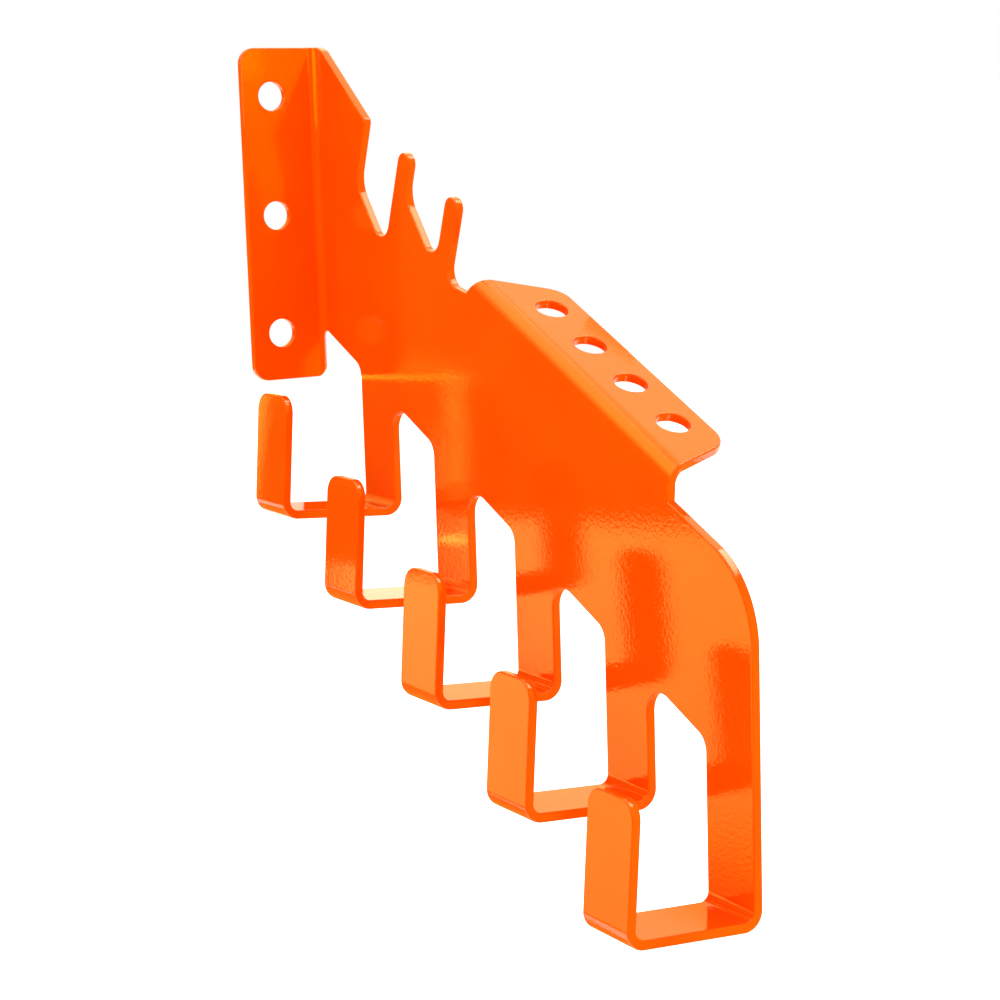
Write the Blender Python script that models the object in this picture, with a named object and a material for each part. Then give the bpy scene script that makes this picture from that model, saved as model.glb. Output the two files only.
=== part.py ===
# Chainsaw rack: one laser-cut steel blank, folded into a wall flange, a web, a tool shelf and five hooks.
# Sizes are millimetres. The wall is the plane Y = 0, the rack stands out from it towards -Y, and the origin
# is on the line of the screw holes. A place on the flat blank is (out from the wall, up from the origin).

from math import atan2, cos, floor, pi, radians, sin, tan

import bmesh
import bpy
from mathutils import Matrix, Vector

MM = 0.001

# The sheet, its folds and how finely its curves are cut
SHEET = 2.0
BEND_RADIUS = 2.0
FACETS_PER_BEND = 8
ARC_STEP = radians(9)
HOLE_SIDES = 36

# Wall flange, with a free tail that hangs below the web
FLANGE_WIDTH = 19.4
FLANGE_TOP_UP = 25.5
FLANGE_ROUND = 3.8
FLANGE_FOLD = radians(90)
TAIL_EDGE_OUT = 1.4
TAIL_LENGTH = 11.75
TAIL_ROUND = 2.5
SCREW_COUNT = 3
SCREW_HOLE = 6.8
SCREW_PITCH = 28.3
SCREW_FROM_EDGE = 7.7

# The stair of hooks: each is one step further out and one step lower than the last
HOOK_COUNT = 5
STEP_OUT = 34.05
STEP_DOWN = 15.55
FIRST_LEG_OUT = 27.05
LEG_WIDTH = 14.8
LEG_FOLD_UP = -80.4
TRAY_FOLD = radians(94.5)
TRAY_FLAT = 23.1
TAB_FOLD = radians(90)
TAB_FLAT = 24.2
TAB_ROUND = 4.0

# Lower edge of the web, from which the legs hang, given by its height at the wall
WEB_LOWER_UP = -41.4
WINDOW_APEX_ROUND = 4.8
WINDOW_LOW_ROUND = 4.0
TAIL_APEX_ROUND = 1.2

# Upper edge of the web: a sloping shoulder, then slots between leaning prongs
SHOULDER_START_OUT = 4.6
SHOULDER_START_ROUND = 7.0
SHOULDER_OUT = 26.6
SHOULDER_UP = 7.6
SHOULDER_ROUND = 1.5
SHOULDER_FLANK = 15.7
SLOT_LEAN = radians(21)
SLOT_RAMP_FALL = radians(51.8)
SLOT_RAMP = 20.4
SLOT_CORNER_ROUND = 6.5
SLOT_FLOOR_ROUND = 4.0
LAST_SLOT_ROUND = 5.0
PRONG_WIDTH = 5.3
PRONG_ROUND = 2.5
PRONG_WALL_SIDES = (25.45, 18.05)
PRONG_ROOM_SIDES = (9.4, 18.9)

# Tool shelf: it runs from a notch beside the last slot to a relief cut near the outer end of the web
SHELF_SLOPE = radians(25.2)
SHELF_FOLD = radians(88.5)
SHELF_FLAT = 13.9
SHELF_ROUND = 6.0
NOTCH_OUT = 8.8
NOTCH_DOWN = 2.0
NOTCH_DEPTH = 0.8
RELIEF_DEPTH = 2.6
SHELF_START_INSET = 10.8
SHELF_END_INSET = 7.7
TOOL_HOLE = 7.1
TOOL_HOLE_PITCH = 16.1
TOOL_HOLE_FLAT = 6.8
FIRST_TOOL_HOLE = 7.15
LAST_TOOL_HOLE_MARGIN = 6.0

# Outer end of the web, above the last leg
OUTER_LEDGE = 25.9
OUTER_ROUND = 20.0

# Working limits: points this close are one point, and faces this flat are one face
WELD = 0.0001
ON_LINE = 0.001
FLAT_ANGLE = radians(1)
SHARP_ANGLE = radians(30)
LARGEST_ROUND_SHARE = 0.49

# What follows from the sizes above
NEUTRAL_RADIUS = BEND_RADIUS + SHEET / 2
FALL = STEP_DOWN / STEP_OUT
WEB_SIDE = FLANGE_WIDTH - SCREW_FROM_EDGE
WEB_START = SHEET + BEND_RADIUS
FLANGE_EDGE = WEB_START - FLANGE_FOLD * NEUTRAL_RADIUS - (FLANGE_WIDTH - BEND_RADIUS)
TRAY_LENGTH = TRAY_FOLD * NEUTRAL_RADIUS + TRAY_FLAT
STRIP_LENGTH = TRAY_LENGTH + TAB_FOLD * NEUTRAL_RADIUS + TAB_FLAT
SHELF_ARC = SHELF_FOLD * NEUTRAL_RADIUS
SHELF_ALONG = Vector((cos(SHELF_SLOPE), -sin(SHELF_SLOPE)))
SHELF_PAST = Vector((sin(SHELF_SLOPE), cos(SHELF_SLOPE)))
OUTER_EDGE = FIRST_LEG_OUT + (HOOK_COUNT - 1) * STEP_OUT + LEG_WIDTH / 2


def leg_sides(hook):
    middle = FIRST_LEG_OUT + hook * STEP_OUT
    return middle - LEG_WIDTH / 2, middle + LEG_WIDTH / 2


def web_lower_edge(out):
    return Vector((out, WEB_LOWER_UP - out * FALL))


def tail_end():
    return web_lower_edge(TAIL_EDGE_OUT) - Vector((0, TAIL_LENGTH))


def slot_corners():
    """Corners of the slots and prongs, followed along the edge from the shoulder to the last slot."""
    lean = Vector((sin(SLOT_LEAN), cos(SLOT_LEAN)))
    ramp = Vector((cos(SLOT_RAMP_FALL), -sin(SLOT_RAMP_FALL)))
    across = Vector((cos(SLOT_LEAN), -sin(SLOT_LEAN)))
    place = Vector((SHOULDER_OUT, SHOULDER_UP))
    corners = [(place, SHOULDER_ROUND)]
    place = place - lean * SHOULDER_FLANK
    for wall_side, room_side in zip(PRONG_WALL_SIDES, PRONG_ROOM_SIDES):
        corners.append((place, SLOT_CORNER_ROUND))
        place = place + ramp * SLOT_RAMP
        corners.append((place, SLOT_FLOOR_ROUND))
        place = place + lean * wall_side
        corners.append((place, PRONG_ROUND))
        place = place + across * PRONG_WIDTH
        corners.append((place, PRONG_ROUND))
        place = place - lean * room_side
    corners.append((place, LAST_SLOT_ROUND))
    return corners


def shelf_start():
    """Point of the shelf's fold line beside its notch."""
    last_slot = slot_corners()[-1][0]
    return last_slot + Vector((NOTCH_OUT, -NOTCH_DOWN)) + SHELF_PAST * NOTCH_DEPTH


def on_shelf(along, past):
    return shelf_start() + SHELF_ALONG * along + SHELF_PAST * past


def shelf_length():
    """Length of the fold line, from the notch to the relief cut."""
    relief_out = OUTER_EDGE - OUTER_LEDGE
    return (relief_out - on_shelf(0, -RELIEF_DEPTH).x) / SHELF_ALONG.x


def blank_corners():
    """Corners of the flat blank, each with the radius that rounds it, clockwise from the flange's top."""
    corners = [((FLANGE_EDGE, FLANGE_TOP_UP), FLANGE_ROUND)]
    corners.append(((SHOULDER_START_OUT, FLANGE_TOP_UP), SHOULDER_START_ROUND))
    corners += slot_corners()
    corners.append((on_shelf(0, -NOTCH_DEPTH), 0))
    corners.append((on_shelf(SHELF_START_INSET, SHELF_ARC + SHELF_FLAT), SHELF_ROUND))
    corners.append((on_shelf(shelf_length() - SHELF_END_INSET, SHELF_ARC + SHELF_FLAT), SHELF_ROUND))
    relief = on_shelf(shelf_length(), -RELIEF_DEPTH)
    corners.append((relief, 0))
    corners.append((relief + Vector((OUTER_LEDGE, -OUTER_LEDGE * FALL)), OUTER_ROUND))
    for hook in reversed(range(HOOK_COUNT)):
        wall_side, room_side = leg_sides(hook)
        strip_end = LEG_FOLD_UP - hook * STEP_DOWN - STRIP_LENGTH
        corners.append(((room_side, strip_end), TAB_ROUND))
        corners.append(((wall_side, strip_end), TAB_ROUND))
        corners.append((web_lower_edge(wall_side), WINDOW_LOW_ROUND))
        if hook > 0:
            corners.append((web_lower_edge(leg_sides(hook - 1)[1]), WINDOW_APEX_ROUND))
    corners.append((web_lower_edge(TAIL_EDGE_OUT), TAIL_APEX_ROUND))
    corners.append((tail_end(), TAIL_ROUND))
    corners.append(((FLANGE_EDGE, tail_end().y), FLANGE_ROUND))
    return corners


def rounded(corners):
    """Points of the outline, with an arc at every corner that has a radius, limited by its two edges."""
    points = []
    for i, (corner, radius) in enumerate(corners):
        here = Vector(corner)
        back = Vector(corners[i - 1][0]) - here
        ahead = Vector(corners[(i + 1) % len(corners)][0]) - here
        if radius == 0:
            points.append(here)
            continue
        half = back.angle(ahead) / 2
        reach = min(radius / tan(half), LARGEST_ROUND_SHARE * min(back.length, ahead.length))
        centre = here + (back.normalized() + ahead.normalized()).normalized() * reach / cos(half)
        first = here + back.normalized() * reach - centre
        last = here + ahead.normalized() * reach - centre
        turn = atan2(first.x * last.y - first.y * last.x, first.dot(last))
        steps = max(2, round(abs(turn) / ARC_STEP))
        points += [centre + Matrix.Rotation(turn * k / steps, 2) @ first for k in range(steps + 1)]
    return points


def circle(centre, diameter):
    spokes = [2 * pi * k / HOLE_SIDES for k in range(HOLE_SIDES)]
    return [Vector(centre) + Vector((cos(a), sin(a))) * diameter / 2 for a in spokes]


def screw_holes():
    out = FLANGE_EDGE + SCREW_FROM_EDGE
    middle_up = (FLANGE_TOP_UP + tail_end().y) / 2
    rows = [k - (SCREW_COUNT - 1) / 2 for k in range(SCREW_COUNT)]
    return [circle((out, middle_up + row * SCREW_PITCH), SCREW_HOLE) for row in rows]


def tool_holes():
    room = shelf_length() - SHELF_END_INSET - SHELF_START_INSET - FIRST_TOOL_HOLE - LAST_TOOL_HOLE_MARGIN
    first = SHELF_START_INSET + FIRST_TOOL_HOLE
    places = [first + k * TOOL_HOLE_PITCH for k in range(floor(room / TOOL_HOLE_PITCH) + 1)]
    return [circle(on_shelf(along, SHELF_ARC + TOOL_HOLE_FLAT), TOOL_HOLE) for along in places]


def merge_flat_faces(sheet):
    bmesh.ops.dissolve_limit(sheet, verts=sheet.verts, edges=sheet.edges, angle_limit=FLAT_ANGLE)


def flat_blank():
    """The cut blank as a flat solid plate, standing in the plane of the web."""
    curve = bpy.data.curves.new("blank", "CURVE")
    curve.dimensions = "2D"
    curve.fill_mode = "BOTH"
    curve.extrude = SHEET / 2
    for outline in [rounded(blank_corners()), *screw_holes(), *tool_holes()]:
        spline = curve.splines.new("POLY")
        spline.points.add(len(outline) - 1)
        for point, place in zip(spline.points, outline):
            point.co = (place.x, place.y, 0, 1)
        spline.use_cyclic_u = True
    drawing = bpy.data.objects.new("blank", curve)
    bpy.context.scene.collection.objects.link(drawing)
    seen = drawing.evaluated_get(bpy.context.evaluated_depsgraph_get())
    mesh = bpy.data.meshes.new_from_object(seen)
    bpy.data.objects.remove(drawing)
    sheet = bmesh.new()
    sheet.from_mesh(mesh)
    bpy.data.meshes.remove(mesh)
    bmesh.ops.remove_doubles(sheet, verts=sheet.verts, dist=WELD)
    bmesh.ops.dissolve_degenerate(sheet, edges=sheet.edges, dist=WELD)
    merge_flat_faces(sheet)
    stand = Matrix(((0, 0, -1, WEB_SIDE + SHEET / 2), (-1, 0, 0, 0), (0, 1, 0, 0), (0, 0, 0, 1)))
    bmesh.ops.transform(sheet, matrix=stand, verts=sheet.verts)
    return sheet


def fold(sheet, line, past, toward, angle, in_flap):
    """Fold the flap that lies past a line: the line is on the inner face, and the flap turns toward one side."""
    arc = angle * NEUTRAL_RADIUS

    def flap():
        return [v for v in sheet.verts if (v.co - line).dot(past) > ON_LINE and in_flap(v.co)]

    for k in range(FACETS_PER_BEND + 1):
        faces = {f for v in flap() for f in v.link_faces}
        edges = {e for f in faces for e in f.edges}
        corners = {v for f in faces for v in f.verts}
        cut = line + past * arc * k / FACETS_PER_BEND
        bmesh.ops.bisect_plane(
            sheet, geom=[*faces, *edges, *corners], dist=ON_LINE, plane_co=cut, plane_no=past)
    for v in flap():
        distance = (v.co - line).dot(past)
        radius = BEND_RADIUS - (v.co - line).dot(toward)
        turned = min(distance / NEUTRAL_RADIUS, angle)
        straight = max(distance - arc, 0)
        reach = radius * sin(turned) + straight * cos(turned)
        rise = BEND_RADIUS - radius * cos(turned) + straight * sin(turned)
        v.co += past * (reach - distance) + toward * (rise - BEND_RADIUS + radius)


def fold_hook(sheet, hook):
    """Fold one strip twice: first its tab, while the strip is flat, then the tray with the tab on it."""
    wall_side, room_side = leg_sides(hook)
    fold_up = LEG_FOLD_UP - hook * STEP_DOWN
    down = Vector((0, 0, -1))
    left = Vector((-1, 0, 0))

    def in_strip(place):
        return wall_side - ON_LINE < -place.y < room_side + ON_LINE

    fold(sheet, Vector((WEB_SIDE, 0, fold_up - TRAY_LENGTH)), down, left, TAB_FOLD, in_strip)
    fold(sheet, Vector((WEB_SIDE, 0, fold_up)), down, left, TRAY_FOLD, in_strip)


def fold_shelf(sheet):
    start = shelf_start()
    line = Vector((WEB_SIDE + SHEET, -start.x, start.y))
    along = Vector((0, -SHELF_ALONG.x, SHELF_ALONG.y))
    past = Vector((0, -SHELF_PAST.x, SHELF_PAST.y))

    def on_flap(place):
        return -ON_LINE < (place - line).dot(along) < shelf_length() + ON_LINE

    fold(sheet, line, past, Vector((1, 0, 0)), SHELF_FOLD, on_flap)


def fold_flange(sheet):
    line = Vector((WEB_SIDE, -WEB_START, 0))
    fold(sheet, line, Vector((0, 1, 0)), Vector((-1, 0, 0)), FLANGE_FOLD, lambda place: True)


def powder_coat():
    material = bpy.data.materials.new("orange_powder_coat")
    material.use_nodes = True
    shader = material.node_tree.nodes["Principled BSDF"]
    shader.inputs["Base Color"].default_value = (1.0, 0.09, 0.0, 1.0)
    shader.inputs["Metallic"].default_value = 0.0
    shader.inputs["Roughness"].default_value = 0.2
    return material


def rack_sheet():
    """The whole rack, folded from its blank, as one solid."""
    sheet = flat_blank()
    for hook in range(HOOK_COUNT):
        fold_hook(sheet, hook)
    fold_shelf(sheet)
    fold_flange(sheet)
    merge_flat_faces(sheet)
    bmesh.ops.scale(sheet, vec=(MM, MM, MM), verts=sheet.verts)
    bmesh.ops.recalc_face_normals(sheet, faces=sheet.faces)
    mesh = bpy.data.meshes.new("rack_sheet")
    sheet.to_mesh(mesh)
    sheet.free()
    mesh.materials.append(powder_coat())
    mesh.shade_smooth()
    mesh.set_sharp_from_angle(angle=SHARP_ANGLE)
    return bpy.data.objects.new("rack_sheet", mesh)


def build():
    for old in list(bpy.data.objects):
        bpy.data.objects.remove(old)
    rack = bpy.data.collections.new("chainsaw_rack")
    bpy.context.scene.collection.children.link(rack)
    rack.objects.link(rack_sheet())


build()
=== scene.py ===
# Looks of the chainsaw rack: the folded sheet with its rounded, glossy powder coat, in a white studio.
# The sheet's sizes are millimetres, as in the part's source, and the studio's are metres. The wall is the
# plane Y = 0, the rack stands out from it towards -Y, and a place on the flat blank is (out, up).

from math import atan2, cos, floor, pi, radians, sin, tan

import bmesh
import bpy
from mathutils import Matrix, Vector


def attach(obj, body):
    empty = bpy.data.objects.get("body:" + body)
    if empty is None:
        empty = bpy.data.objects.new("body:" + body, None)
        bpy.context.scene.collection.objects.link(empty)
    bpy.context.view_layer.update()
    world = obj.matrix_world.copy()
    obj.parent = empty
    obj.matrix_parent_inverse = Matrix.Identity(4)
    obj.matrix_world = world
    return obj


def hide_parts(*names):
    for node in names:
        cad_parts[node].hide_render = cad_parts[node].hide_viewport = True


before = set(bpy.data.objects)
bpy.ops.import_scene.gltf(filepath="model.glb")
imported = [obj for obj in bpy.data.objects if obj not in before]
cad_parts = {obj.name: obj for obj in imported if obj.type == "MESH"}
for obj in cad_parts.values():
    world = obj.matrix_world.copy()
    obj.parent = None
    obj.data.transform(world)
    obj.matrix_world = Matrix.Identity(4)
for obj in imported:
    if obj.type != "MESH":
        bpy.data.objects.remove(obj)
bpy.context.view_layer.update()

MM = 0.001

# The sheet, its folds and how finely its curves are cut
SHEET = 2.0
EDGE_ROUND = 0.35
EDGE_STEPS = 4
BEND_RADIUS = 2.0
FACETS_PER_BEND = 16
ARC_STEP = radians(4)
HOLE_SIDES = 72

# Wall flange, with a free tail that hangs below the web
FLANGE_WIDTH = 19.4
FLANGE_TOP_UP = 25.5
FLANGE_ROUND = 3.8
FLANGE_FOLD = radians(90)
TAIL_EDGE_OUT = 1.4
TAIL_LENGTH = 11.75
TAIL_ROUND = 2.5
SCREW_COUNT = 3
SCREW_HOLE = 6.8
SCREW_PITCH = 28.3
SCREW_FROM_EDGE = 7.7

# The stair of hooks: each is one step further out and one step lower than the last
HOOK_COUNT = 5
STEP_OUT = 34.05
STEP_DOWN = 15.55
FIRST_LEG_OUT = 27.05
LEG_WIDTH = 14.8
LEG_FOLD_UP = -80.4
TRAY_FOLD = radians(94.5)
TRAY_FLAT = 23.1
TAB_FOLD = radians(90)
TAB_FLAT = 24.2
TAB_ROUND = 4.0

# Lower edge of the web, from which the legs hang, given by its height at the wall
WEB_LOWER_UP = -41.4
WINDOW_APEX_ROUND = 4.8
WINDOW_LOW_ROUND = 4.0
TAIL_APEX_ROUND = 1.2

# Upper edge of the web: a sloping shoulder, then slots between leaning prongs
SHOULDER_START_OUT = 4.6
SHOULDER_START_ROUND = 7.0
SHOULDER_OUT = 26.6
SHOULDER_UP = 7.6
SHOULDER_ROUND = 1.5
SHOULDER_FLANK = 15.7
SLOT_LEAN = radians(21)
SLOT_RAMP_FALL = radians(51.8)
SLOT_RAMP = 20.4
SLOT_CORNER_ROUND = 6.5
SLOT_FLOOR_ROUND = 4.0
LAST_SLOT_ROUND = 5.0
PRONG_WIDTH = 5.3
PRONG_ROUND = 2.5
PRONG_WALL_SIDES = (25.45, 18.05)
PRONG_ROOM_SIDES = (9.4, 18.9)

# Tool shelf: it runs from a notch beside the last slot to a relief cut near the outer end of the web
SHELF_SLOPE = radians(25.2)
SHELF_FOLD = radians(88.5)
SHELF_FLAT = 13.9
SHELF_ROUND = 6.0
NOTCH_OUT = 8.8
NOTCH_DOWN = 2.0
NOTCH_DEPTH = 0.8
RELIEF_DEPTH = 2.6
SHELF_START_INSET = 10.8
SHELF_END_INSET = 7.7
TOOL_HOLE = 7.1
TOOL_HOLE_PITCH = 16.1
TOOL_HOLE_FLAT = 6.8
FIRST_TOOL_HOLE = 7.15
LAST_TOOL_HOLE_MARGIN = 6.0

# Outer end of the web, above the last leg
OUTER_LEDGE = 25.9
OUTER_ROUND = 20.0

# Working limits: points this close are one point, and faces this flat are one face
WELD = 0.0001
ON_LINE = 0.001
FLAT_ANGLE = radians(1)
SHARP_ANGLE = radians(35)
LARGEST_ROUND_SHARE = 0.49

# What follows from the sizes above
NEUTRAL_RADIUS = BEND_RADIUS + SHEET / 2
FALL = STEP_DOWN / STEP_OUT
WEB_SIDE = FLANGE_WIDTH - SCREW_FROM_EDGE
WEB_START = SHEET + BEND_RADIUS
FLANGE_EDGE = WEB_START - FLANGE_FOLD * NEUTRAL_RADIUS - (FLANGE_WIDTH - BEND_RADIUS)
TRAY_LENGTH = TRAY_FOLD * NEUTRAL_RADIUS + TRAY_FLAT
STRIP_LENGTH = TRAY_LENGTH + TAB_FOLD * NEUTRAL_RADIUS + TAB_FLAT
SHELF_ARC = SHELF_FOLD * NEUTRAL_RADIUS
SHELF_ALONG = Vector((cos(SHELF_SLOPE), -sin(SHELF_SLOPE)))
SHELF_PAST = Vector((sin(SHELF_SLOPE), cos(SHELF_SLOPE)))
OUTER_EDGE = FIRST_LEG_OUT + (HOOK_COUNT - 1) * STEP_OUT + LEG_WIDTH / 2

# Powder coat: its colour in thick and thin places, and the size of its orange peel
COAT_COLOUR = (1.0, 0.072, 0.0, 1.0)
COAT_THIN_COLOUR = (1.0, 0.064, 0.0, 1.0)
RIM_COLOUR = (1.0, 0.080, 0.0, 1.0)
RIM_THIN_COLOUR = (0.88, 0.060, 0.0, 1.0)
COAT_IOR = 1.6
COAT_TINT = (1.0, 1.0, 0.0, 1.0)
RIM_TINT = (1.0, 1.0, 0.35, 1.0)
# The reflections in the photo show a sheet that stands about two degrees off square, so the shading leans
# by that: a height on the surface that changes by this much for every metre along X, Y and Z
SHEET_LEAN = (0.0, -0.020, -0.040)
PEEL_PER_METRE = 1200
PEEL_DETAIL = 2
PEEL_DEPTH = 0.00003
CLOUD_PER_METRE = 60
CLOUD_DETAIL = 3
CLOUD_EDGES = (0.35, 0.65)
GLOSS_PER_METRE = 180
GLOSS_DETAIL = 2
ROUGHNESS = (0.04, 0.08)
NORMAL_WEIGHT = 100

# Camera of the photograph
CAMERA_PLACE = (-0.231307, -0.485591, 0.001122)
CAMERA_AZIMUTH = radians(-31.081)
CAMERA_ELEVATION = radians(9.188)
CAMERA_ROLL = radians(-1.745)
CAMERA_LENS = 79.08
CAMERA_SENSOR = 36

# Studio: floor, lamps as (place, size, watts), and upright cards that only reflections see, each as (degrees
# left of +Y, distance, reach from left to right, reach from low to high, glow at its low and high edges, and
# the shares of green and blue in its light)
OBJECT_MIDDLE = Vector((0.0, -0.085, -0.06))
FLOOR_UP = -0.40
FLOOR_SIZE = 6.0
FLOOR_GLOW = 0.85
FLOOR_COLOUR = (0.9, 0.9, 0.9, 1.0)
WORLD_LIGHT = 0.75
LAMPS = {
    "top_softbox": ((0.45, 0.25, 1.0), 1.5, 11.0),
    "left_softbox": ((-1.2, -0.55, 0.45), 1.3, 9.0),
    "front_softbox": ((0.45, -1.25, 0.35), 1.5, 8.0),
}
CARDS = {
    # Seen in the web, the tabs and the bend of the shelf
    "post_card": (33, 0.030, (-0.0192, -0.0158), (-0.0845, -0.0541), (1.7, 1.7), (1, 0.15)),
    "bar_card": (10, 0.0, (-0.0215, 0.004), (-0.0547, -0.0539), (2.4, 2.4), (1, 0.07)),
    "bar_glow_card": (33, 0.059, (-0.0156, 0.0237), (-0.0571, -0.0498), (0.77, 0.23), (1, 0.07)),
    "near_card": (33, 0.060, (-0.0405, -0.0135), (-0.0966, 0.03), (0.18, 0.28), (1, 0.07)),
    "near_left_card": (33, 0.060, (-0.60, -0.0405), (-0.0968, 0.03), (0.18, 0.28), (1, 0.07)),
    "bend_card": (33, 0.060, (-0.60, 0.25), (0.03, 0.13), (0.28, 2.7), (1, 0.5)),
    "bend_top_card": (33, 0.060, (-0.60, 0.25), (0.13, 0.60), (2.7, 2.7), (1, 0.65)),
    "far_card": (27, 1.5, (-1.5, 1.0), (-0.40, 0.50), (0.12, 0.46), (1, 0.07)),
    "leg_foot_card": (36, 0.60, (-0.80, 0.32), (-0.40, -0.362), (0.38, 0.38), (1, 0.1)),
    "low_card": (36, 0.60, (-0.80, 0.32), (-0.362, -0.322), (0.38, 1.38), (1, 0.15)),
    "back_left_card": (36, 0.60, (-0.80, 0.0637), (-0.322, -0.1265), (1.38, 2.08), (1, 0.36)),
    "step_card": (36, 0.59, (0.049, 0.074), (-0.2135, -0.1805), (0.85, 0.85), (1, 0.2)),
    "leg_line_card": (33, 0.0, (-0.0226, -0.0152), (-0.0959, -0.0939), (4.0, 4.0), (1, 0.25)),
    # Seen in folds and rims
    "under_card": (0, 0.12, (-0.10, 0.14), (-0.39, -0.14), (0.45, 0.45), (1, 0.12)),
    "middle_card": (5, 0.80, (-0.35, 0.35), (0.10, 0.90), (0.9, 0.9), (1, 0.2)),
    "right_low_card": (-29, 1.0, (-0.80, 0.80), (-0.40, -0.134), (0.75, 0.75), (1, 0.14)),
    "under_left_card": (22, 0.25, (-0.075, 0.03), (-0.39, -0.18), (0.45, 0.45), (1, 0.12)),
    "under_right_card": (-100, 0.12, (-0.10, 0.30), (-0.39, -0.10), (0.7, 0.7), (1, 0.1)),
    # Seen in the trays and the shelf
    "first_tray_card": (-33, 0.030, (0.0011, 0.0160), (-0.088, -0.066), (1.0, 1.0), (0.1, 0)),
    "second_tray_card": (-33, 0.030, (0.0164, 0.0275), (-0.097, -0.0835), (1.9, 1.9), (1, 0.65)),
    "tray_card": (-33, 1.0, (-0.60, 0.60), (-0.016, 0.60), (1.2, 0.9), (1, 0.38)),
    "shelf_shade_card": (-50, -0.02, (0.0888, 0.102), (-0.023, -0.0155), (0.95, 1.25), (1, 0.3)),
    "shelf_card": (-50, 0.80, (-0.60, 0.60), (0.35, 2.5), (1.85, 1.85), (1, 0.55)),
    # Seen in the pale rims, the flange and its bend
    "rim_card": (-100, 0.50, (-0.20, 0.35), (0.50, 1.20), (6.5, 6.5), (1, 1)),
    "flange_bend_card": (121, 0.030, (-0.012, 0.014), (0.010, 0.04), (2.0, 4.6), (1, 0.55)),
    "flange_corner_card": (-154.5, 0.060, (0.0035, 0.0105), (0.0255, 0.034), (2.2, 2.2), (1, 0.2)),
    "front_top_card": (-154.5, 0.49, (-0.0112, 0.60), (0.0585, 0.60), (1.15, 1.15), (1, 0.1)),
    "front_card": (-154.5, 0.50, (-0.60, 0.60), (-0.50, 0.60), (0.7, 0.7), (1, 0.1)),
    "camera_card": (155, 0.50, (-0.60, 0.60), (-0.50, 0.60), (0.24, 0.24), (1, 0.1)),
}


def leg_sides(hook):
    middle = FIRST_LEG_OUT + hook * STEP_OUT
    return middle - LEG_WIDTH / 2, middle + LEG_WIDTH / 2


def web_lower_edge(out):
    return Vector((out, WEB_LOWER_UP - out * FALL))


def tail_end():
    return web_lower_edge(TAIL_EDGE_OUT) - Vector((0, TAIL_LENGTH))


def slot_corners():
    """Corners of the slots and prongs, followed along the edge from the shoulder to the last slot."""
    lean = Vector((sin(SLOT_LEAN), cos(SLOT_LEAN)))
    ramp = Vector((cos(SLOT_RAMP_FALL), -sin(SLOT_RAMP_FALL)))
    across = Vector((cos(SLOT_LEAN), -sin(SLOT_LEAN)))
    place = Vector((SHOULDER_OUT, SHOULDER_UP))
    corners = [(place, SHOULDER_ROUND)]
    place = place - lean * SHOULDER_FLANK
    for wall_side, room_side in zip(PRONG_WALL_SIDES, PRONG_ROOM_SIDES):
        corners.append((place, SLOT_CORNER_ROUND))
        place = place + ramp * SLOT_RAMP
        corners.append((place, SLOT_FLOOR_ROUND))
        place = place + lean * wall_side
        corners.append((place, PRONG_ROUND))
        place = place + across * PRONG_WIDTH
        corners.append((place, PRONG_ROUND))
        place = place - lean * room_side
    corners.append((place, LAST_SLOT_ROUND))
    return corners


def shelf_start():
    """Point of the shelf's fold line beside its notch."""
    last_slot = slot_corners()[-1][0]
    return last_slot + Vector((NOTCH_OUT, -NOTCH_DOWN)) + SHELF_PAST * NOTCH_DEPTH


def on_shelf(along, past):
    return shelf_start() + SHELF_ALONG * along + SHELF_PAST * past


def shelf_length():
    """Length of the fold line, from the notch to the relief cut."""
    relief_out = OUTER_EDGE - OUTER_LEDGE
    return (relief_out - on_shelf(0, -RELIEF_DEPTH).x) / SHELF_ALONG.x


def blank_corners():
    """Corners of the flat blank, each with the radius that rounds it, clockwise from the flange's top."""
    corners = [((FLANGE_EDGE, FLANGE_TOP_UP), FLANGE_ROUND)]
    corners.append(((SHOULDER_START_OUT, FLANGE_TOP_UP), SHOULDER_START_ROUND))
    corners += slot_corners()
    corners.append((on_shelf(0, -NOTCH_DEPTH), 0))
    corners.append((on_shelf(SHELF_START_INSET, SHELF_ARC + SHELF_FLAT), SHELF_ROUND))
    corners.append((on_shelf(shelf_length() - SHELF_END_INSET, SHELF_ARC + SHELF_FLAT), SHELF_ROUND))
    relief = on_shelf(shelf_length(), -RELIEF_DEPTH)
    corners.append((relief, 0))
    corners.append((relief + Vector((OUTER_LEDGE, -OUTER_LEDGE * FALL)), OUTER_ROUND))
    for hook in reversed(range(HOOK_COUNT)):
        wall_side, room_side = leg_sides(hook)
        strip_end = LEG_FOLD_UP - hook * STEP_DOWN - STRIP_LENGTH
        corners.append(((room_side, strip_end), TAB_ROUND))
        corners.append(((wall_side, strip_end), TAB_ROUND))
        corners.append((web_lower_edge(wall_side), WINDOW_LOW_ROUND))
        if hook > 0:
            corners.append((web_lower_edge(leg_sides(hook - 1)[1]), WINDOW_APEX_ROUND))
    corners.append((web_lower_edge(TAIL_EDGE_OUT), TAIL_APEX_ROUND))
    corners.append((tail_end(), TAIL_ROUND))
    corners.append(((FLANGE_EDGE, tail_end().y), FLANGE_ROUND))
    return corners


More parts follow.
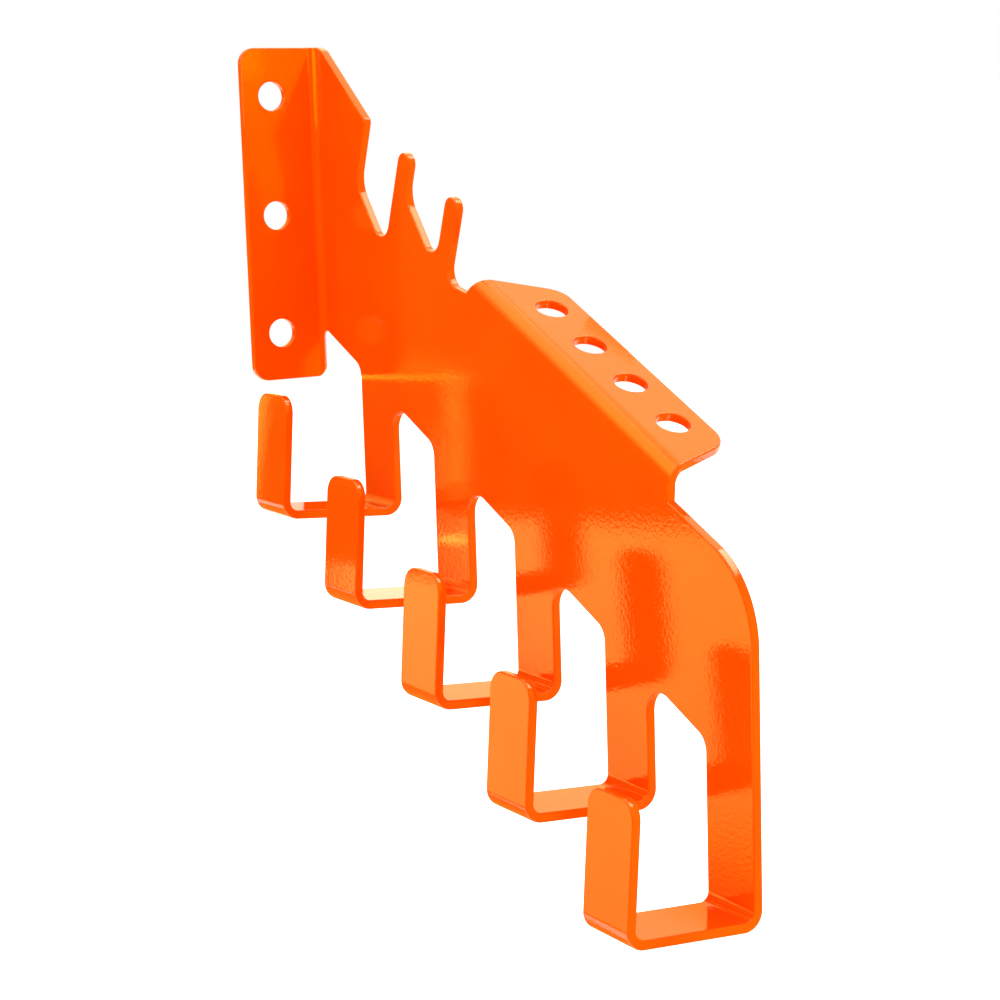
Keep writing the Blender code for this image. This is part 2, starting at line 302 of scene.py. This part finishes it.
def rounded(corners):
    """Points of the outline, with an arc at every corner that has a radius, limited by its two edges."""
    points = []
    for i, (corner, radius) in enumerate(corners):
        here = Vector(corner)
        back = Vector(corners[i - 1][0]) - here
        ahead = Vector(corners[(i + 1) % len(corners)][0]) - here
        if radius == 0:
            points.append(here)
            continue
        half = back.angle(ahead) / 2
        reach = min(radius / tan(half), LARGEST_ROUND_SHARE * min(back.length, ahead.length))
        centre = here + (back.normalized() + ahead.normalized()).normalized() * reach / cos(half)
        first = here + back.normalized() * reach - centre
        last = here + ahead.normalized() * reach - centre
        turn = atan2(first.x * last.y - first.y * last.x, first.dot(last))
        steps = max(2, round(abs(turn) / ARC_STEP))
        points += [centre + Matrix.Rotation(turn * k / steps, 2) @ first for k in range(steps + 1)]
    return points


def circle(centre, diameter):
    spokes = [2 * pi * k / HOLE_SIDES for k in range(HOLE_SIDES)]
    return [Vector(centre) + Vector((cos(a), sin(a))) * diameter / 2 for a in spokes]


def screw_holes():
    out = FLANGE_EDGE + SCREW_FROM_EDGE
    middle_up = (FLANGE_TOP_UP + tail_end().y) / 2
    rows = [k - (SCREW_COUNT - 1) / 2 for k in range(SCREW_COUNT)]
    return [circle((out, middle_up + row * SCREW_PITCH), SCREW_HOLE) for row in rows]


def tool_holes():
    room = shelf_length() - SHELF_END_INSET - SHELF_START_INSET - FIRST_TOOL_HOLE - LAST_TOOL_HOLE_MARGIN
    first = SHELF_START_INSET + FIRST_TOOL_HOLE
    places = [first + k * TOOL_HOLE_PITCH for k in range(floor(room / TOOL_HOLE_PITCH) + 1)]
    return [circle(on_shelf(along, SHELF_ARC + TOOL_HOLE_FLAT), TOOL_HOLE) for along in places]


def merge_flat_faces(sheet):
    bmesh.ops.dissolve_limit(sheet, verts=sheet.verts, edges=sheet.edges, angle_limit=FLAT_ANGLE)


def flat_blank():
    """The cut blank as a flat plate with coated, rounded rims, standing in the plane of the web."""
    curve = bpy.data.curves.new("blank", "CURVE")
    curve.dimensions = "2D"
    curve.fill_mode = "BOTH"
    curve.extrude = SHEET / 2 - EDGE_ROUND
    curve.bevel_depth = EDGE_ROUND
    curve.bevel_resolution = EDGE_STEPS - 1
    curve.offset = -EDGE_ROUND
    for outline in [rounded(blank_corners()), *screw_holes(), *tool_holes()]:
        spline = curve.splines.new("POLY")
        spline.points.add(len(outline) - 1)
        for point, place in zip(spline.points, outline):
            point.co = (place.x, place.y, 0, 1)
        spline.use_cyclic_u = True
    drawing = bpy.data.objects.new("blank", curve)
    bpy.context.scene.collection.objects.link(drawing)
    seen = drawing.evaluated_get(bpy.context.evaluated_depsgraph_get())
    mesh = bpy.data.meshes.new_from_object(seen)
    bpy.data.objects.remove(drawing)
    sheet = bmesh.new()
    sheet.from_mesh(mesh)
    bpy.data.meshes.remove(mesh)
    bmesh.ops.remove_doubles(sheet, verts=sheet.verts, dist=WELD)
    bmesh.ops.dissolve_degenerate(sheet, edges=sheet.edges, dist=WELD)
    for face in sheet.faces:
        face.normal_update()
        face.material_index = 0 if abs(face.normal.z) > cos(FLAT_ANGLE) else 1
    merge_flat_faces(sheet)
    stand = Matrix(((0, 0, -1, WEB_SIDE + SHEET / 2), (-1, 0, 0, 0), (0, 1, 0, 0), (0, 0, 0, 1)))
    bmesh.ops.transform(sheet, matrix=stand, verts=sheet.verts)
    return sheet


def fold(sheet, line, past, toward, angle, in_flap):
    """Fold the flap that lies past a line on the sheet's inner face, and turn it toward one side."""
    arc = angle * NEUTRAL_RADIUS

    def flap():
        return [v for v in sheet.verts if (v.co - line).dot(past) > ON_LINE and in_flap(v.co)]

    for k in range(FACETS_PER_BEND + 1):
        faces = {f for v in flap() for f in v.link_faces}
        edges = {e for f in faces for e in f.edges}
        corners = {v for f in faces for v in f.verts}
        cut = line + past * arc * k / FACETS_PER_BEND
        bmesh.ops.bisect_plane(
            sheet, geom=[*faces, *edges, *corners], dist=ON_LINE, plane_co=cut, plane_no=past)
    for v in flap():
        distance = (v.co - line).dot(past)
        radius = BEND_RADIUS - (v.co - line).dot(toward)
        turned = min(distance / NEUTRAL_RADIUS, angle)
        straight = max(distance - arc, 0)
        reach = radius * sin(turned) + straight * cos(turned)
        rise = BEND_RADIUS - radius * cos(turned) + straight * sin(turned)
        v.co += past * (reach - distance) + toward * (rise - BEND_RADIUS + radius)


def fold_hook(sheet, hook):
    """Fold one strip twice: first its tab, while the strip is flat, then the tray with the tab on it."""
    wall_side, room_side = leg_sides(hook)
    fold_up = LEG_FOLD_UP - hook * STEP_DOWN
    down = Vector((0, 0, -1))
    left = Vector((-1, 0, 0))

    def in_strip(place):
        return wall_side - ON_LINE < -place.y < room_side + ON_LINE

    fold(sheet, Vector((WEB_SIDE, 0, fold_up - TRAY_LENGTH)), down, left, TAB_FOLD, in_strip)
    fold(sheet, Vector((WEB_SIDE, 0, fold_up)), down, left, TRAY_FOLD, in_strip)


def fold_shelf(sheet):
    start = shelf_start()
    line = Vector((WEB_SIDE + SHEET, -start.x, start.y))
    along = Vector((0, -SHELF_ALONG.x, SHELF_ALONG.y))
    past = Vector((0, -SHELF_PAST.x, SHELF_PAST.y))

    def on_flap(place):
        return -ON_LINE < (place - line).dot(along) < shelf_length() + ON_LINE

    fold(sheet, line, past, Vector((1, 0, 0)), SHELF_FOLD, on_flap)


def fold_flange(sheet):
    line = Vector((WEB_SIDE, -WEB_START, 0))
    fold(sheet, line, Vector((0, 1, 0)), Vector((-1, 0, 0)), FLANGE_FOLD, lambda place: True)


def powder_coat(name, colour, thin_colour, tint):
    """Glossy powder coat: clouded colour, uneven gloss, the sheet's lean and fine orange peel."""
    material = bpy.data.materials.new(name)
    material.use_nodes = True
    nodes = material.node_tree.nodes
    links = material.node_tree.links
    shader = nodes["Principled BSDF"]
    shader.inputs["IOR"].default_value = COAT_IOR
    shader.inputs["Specular Tint"].default_value = tint
    place = nodes.new("ShaderNodeTexCoord").outputs["Object"]

    def noise(per_metre, detail):
        node = nodes.new("ShaderNodeTexNoise")
        node.inputs["Scale"].default_value = per_metre
        node.inputs["Detail"].default_value = detail
        links.new(place, node.inputs["Vector"])
        return node.outputs["Fac"]

    clouds = nodes.new("ShaderNodeValToRGB")
    clouds.color_ramp.elements[0].position = CLOUD_EDGES[0]
    clouds.color_ramp.elements[0].color = thin_colour
    clouds.color_ramp.elements[1].position = CLOUD_EDGES[1]
    clouds.color_ramp.elements[1].color = colour
    links.new(noise(CLOUD_PER_METRE, CLOUD_DETAIL), clouds.inputs["Fac"])
    links.new(clouds.outputs["Color"], shader.inputs["Base Color"])

    gloss = nodes.new("ShaderNodeMapRange")
    gloss.inputs["To Min"].default_value = ROUGHNESS[0]
    gloss.inputs["To Max"].default_value = ROUGHNESS[1]
    links.new(noise(GLOSS_PER_METRE, GLOSS_DETAIL), gloss.inputs["Value"])
    links.new(gloss.outputs["Result"], shader.inputs["Roughness"])

    lean = nodes.new("ShaderNodeVectorMath")
    lean.operation = "DOT_PRODUCT"
    lean.inputs[1].default_value = SHEET_LEAN
    links.new(place, lean.inputs[0])
    off_square = nodes.new("ShaderNodeBump")
    off_square.inputs["Distance"].default_value = 1.0
    links.new(lean.outputs["Value"], off_square.inputs["Height"])

    peel = nodes.new("ShaderNodeBump")
    peel.inputs["Distance"].default_value = PEEL_DEPTH
    links.new(noise(PEEL_PER_METRE, PEEL_DETAIL), peel.inputs["Height"])
    links.new(off_square.outputs["Normal"], peel.inputs["Normal"])
    links.new(peel.outputs["Normal"], shader.inputs["Normal"])
    return material


def coated_sheet():
    """The whole rack, folded from its blank, as the piece that stands for the CAD's sheet."""
    sheet = flat_blank()
    for hook in range(HOOK_COUNT):
        fold_hook(sheet, hook)
    fold_shelf(sheet)
    fold_flange(sheet)
    merge_flat_faces(sheet)
    bmesh.ops.scale(sheet, vec=(MM, MM, MM), verts=sheet.verts)
    bmesh.ops.recalc_face_normals(sheet, faces=sheet.faces)
    mesh = bpy.data.meshes.new("coated_sheet")
    sheet.to_mesh(mesh)
    sheet.free()
    mesh.materials.append(powder_coat("orange_powder_coat", COAT_COLOUR, COAT_THIN_COLOUR, COAT_TINT))
    mesh.materials.append(powder_coat("orange_powder_coat_on_rims", RIM_COLOUR, RIM_THIN_COLOUR, RIM_TINT))
    mesh.shade_smooth()
    mesh.set_sharp_from_angle(angle=SHARP_ANGLE)
    piece = bpy.data.objects.new("coated_sheet", mesh)
    bpy.context.scene.collection.objects.link(piece)
    even = piece.modifiers.new("even_normals", "WEIGHTED_NORMAL")
    even.weight = NORMAL_WEIGHT
    even.keep_sharp = True
    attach(piece, "root")
    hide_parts("rack_sheet")


def seen_directly(tree):
    """1 for what is seen straight, in a reflection or through glass, and 0 for light on surfaces."""
    path = tree.nodes.new("ShaderNodeLightPath")
    total = path.outputs["Is Camera Ray"]
    for ray in ("Is Glossy Ray", "Is Transmission Ray"):
        add = tree.nodes.new("ShaderNodeMath")
        add.operation = "MAXIMUM"
        tree.links.new(total, add.inputs[0])
        tree.links.new(path.outputs[ray], add.inputs[1])
        total = add.outputs["Value"]
    return total


def white_world():
    """Soft light from all round, which is plain white where it is seen."""
    world = bpy.data.worlds.new("studio")
    world.use_nodes = True
    bpy.context.scene.world = world
    tree = world.node_tree
    light = tree.nodes["Background"]
    light.inputs["Color"].default_value = (1, 1, 1, 1)
    strength = tree.nodes.new("ShaderNodeMapRange")
    strength.inputs["To Min"].default_value = WORLD_LIGHT
    strength.inputs["To Max"].default_value = 1.0
    tree.links.new(seen_directly(tree), strength.inputs["Value"])
    tree.links.new(strength.outputs["Result"], light.inputs["Strength"])


def panel(name, width, depth):
    """A flat panel in its own XY plane, which belongs to the studio and not to the object."""
    sheet = bmesh.new()
    bmesh.ops.create_grid(sheet, x_segments=1, y_segments=1, size=0.5)
    bmesh.ops.scale(sheet, vec=(width, depth, 1), verts=sheet.verts)
    mesh = bpy.data.meshes.new(name)
    sheet.to_mesh(mesh)
    sheet.free()
    piece = bpy.data.objects.new(name, mesh)
    bpy.context.scene.collection.objects.link(piece)
    return piece


def pale_floor():
    """White floor, which glows enough to be seen white and still takes the object's shadow."""
    floor_panel = panel("studio_floor", FLOOR_SIZE, FLOOR_SIZE)
    floor_panel.location = (0, 0, FLOOR_UP)
    material = bpy.data.materials.new("pale_floor")
    material.use_nodes = True
    tree = material.node_tree
    shader = tree.nodes["Principled BSDF"]
    shader.inputs["Base Color"].default_value = FLOOR_COLOUR
    shader.inputs["Roughness"].default_value = 1.0
    shader.inputs["Emission Color"].default_value = (1, 1, 1, 1)
    glow = tree.nodes.new("ShaderNodeMapRange")
    glow.inputs["To Max"].default_value = FLOOR_GLOW
    tree.links.new(seen_directly(tree), glow.inputs["Value"])
    tree.links.new(glow.outputs["Result"], shader.inputs["Emission Strength"])
    floor_panel.data.materials.append(material)


def turn_toward(piece, target):
    """Point a lamp's or panel's -Z axis at a place."""
    away = piece.location - Vector(target)
    piece.rotation_euler = away.to_track_quat("Z", "Y").to_euler()


def softboxes():
    for name, (place, size, watts) in LAMPS.items():
        lamp = bpy.data.lights.new(name, "AREA")
        lamp.shape = "SQUARE"
        lamp.size = size
        lamp.energy = watts
        softbox = bpy.data.objects.new(name, lamp)
        softbox.location = place
        turn_toward(softbox, OBJECT_MIDDLE)
        softbox.visible_glossy = False
        bpy.context.scene.collection.objects.link(softbox)


def card_light(name, height, glows, shares):
    """Light of a card, which changes evenly from its low edge to its high one."""
    material = bpy.data.materials.new(name)
    material.use_nodes = True
    tree = material.node_tree
    shader = tree.nodes["Principled BSDF"]
    shader.inputs["Base Color"].default_value = (0, 0, 0, 1)
    shader.inputs["Specular IOR Level"].default_value = 0.0
    shader.inputs["Emission Color"].default_value = (1, *shares, 1)
    place = tree.nodes.new("ShaderNodeTexCoord")
    apart = tree.nodes.new("ShaderNodeSeparateXYZ")
    glow = tree.nodes.new("ShaderNodeMapRange")
    glow.inputs["From Min"].default_value = -height / 2
    glow.inputs["From Max"].default_value = height / 2
    glow.inputs["To Min"].default_value = glows[0]
    glow.inputs["To Max"].default_value = glows[1]
    tree.links.new(place.outputs["Object"], apart.inputs["Vector"])
    tree.links.new(apart.outputs["Y"], glow.inputs["Value"])
    tree.links.new(glow.outputs["Result"], shader.inputs["Emission Strength"])
    return material


def cards():
    """Warm, graded cards that shape what the gloss reflects, as in a product studio."""
    for name, (heading, distance, (left, right), (low, high), glows, shares) in CARDS.items():
        card = panel(name, right - left, high - low)
        stand = Matrix.Rotation(radians(heading), 4, "Z") @ Matrix.Rotation(pi / 2, 4, "X")
        middle = Vector(((left + right) / 2, (low + high) / 2, -distance))
        card.matrix_world = stand @ Matrix.Translation(middle)
        card.visible_camera = False
        card.visible_diffuse = False
        card.visible_shadow = False
        card.data.materials.append(card_light(name, high - low, glows, shares))


def photo_camera():
    lens = bpy.data.cameras.new("camera")
    lens.lens = CAMERA_LENS
    lens.sensor_width = CAMERA_SENSOR
    camera = bpy.data.objects.new("camera", lens)
    bpy.context.scene.collection.objects.link(camera)
    turn = Matrix.Rotation(CAMERA_AZIMUTH, 4, "Z")
    tip = Matrix.Rotation(pi / 2 - CAMERA_ELEVATION, 4, "X")
    roll = Matrix.Rotation(CAMERA_ROLL, 4, "Z")
    camera.matrix_world = Matrix.Translation(CAMERA_PLACE) @ turn @ tip @ roll
    bpy.context.scene.camera = camera


coated_sheet()
white_world()
pale_floor()
softboxes()
cards()
photo_camera()
bpy.context.scene.view_settings.view_transform = "Standard"
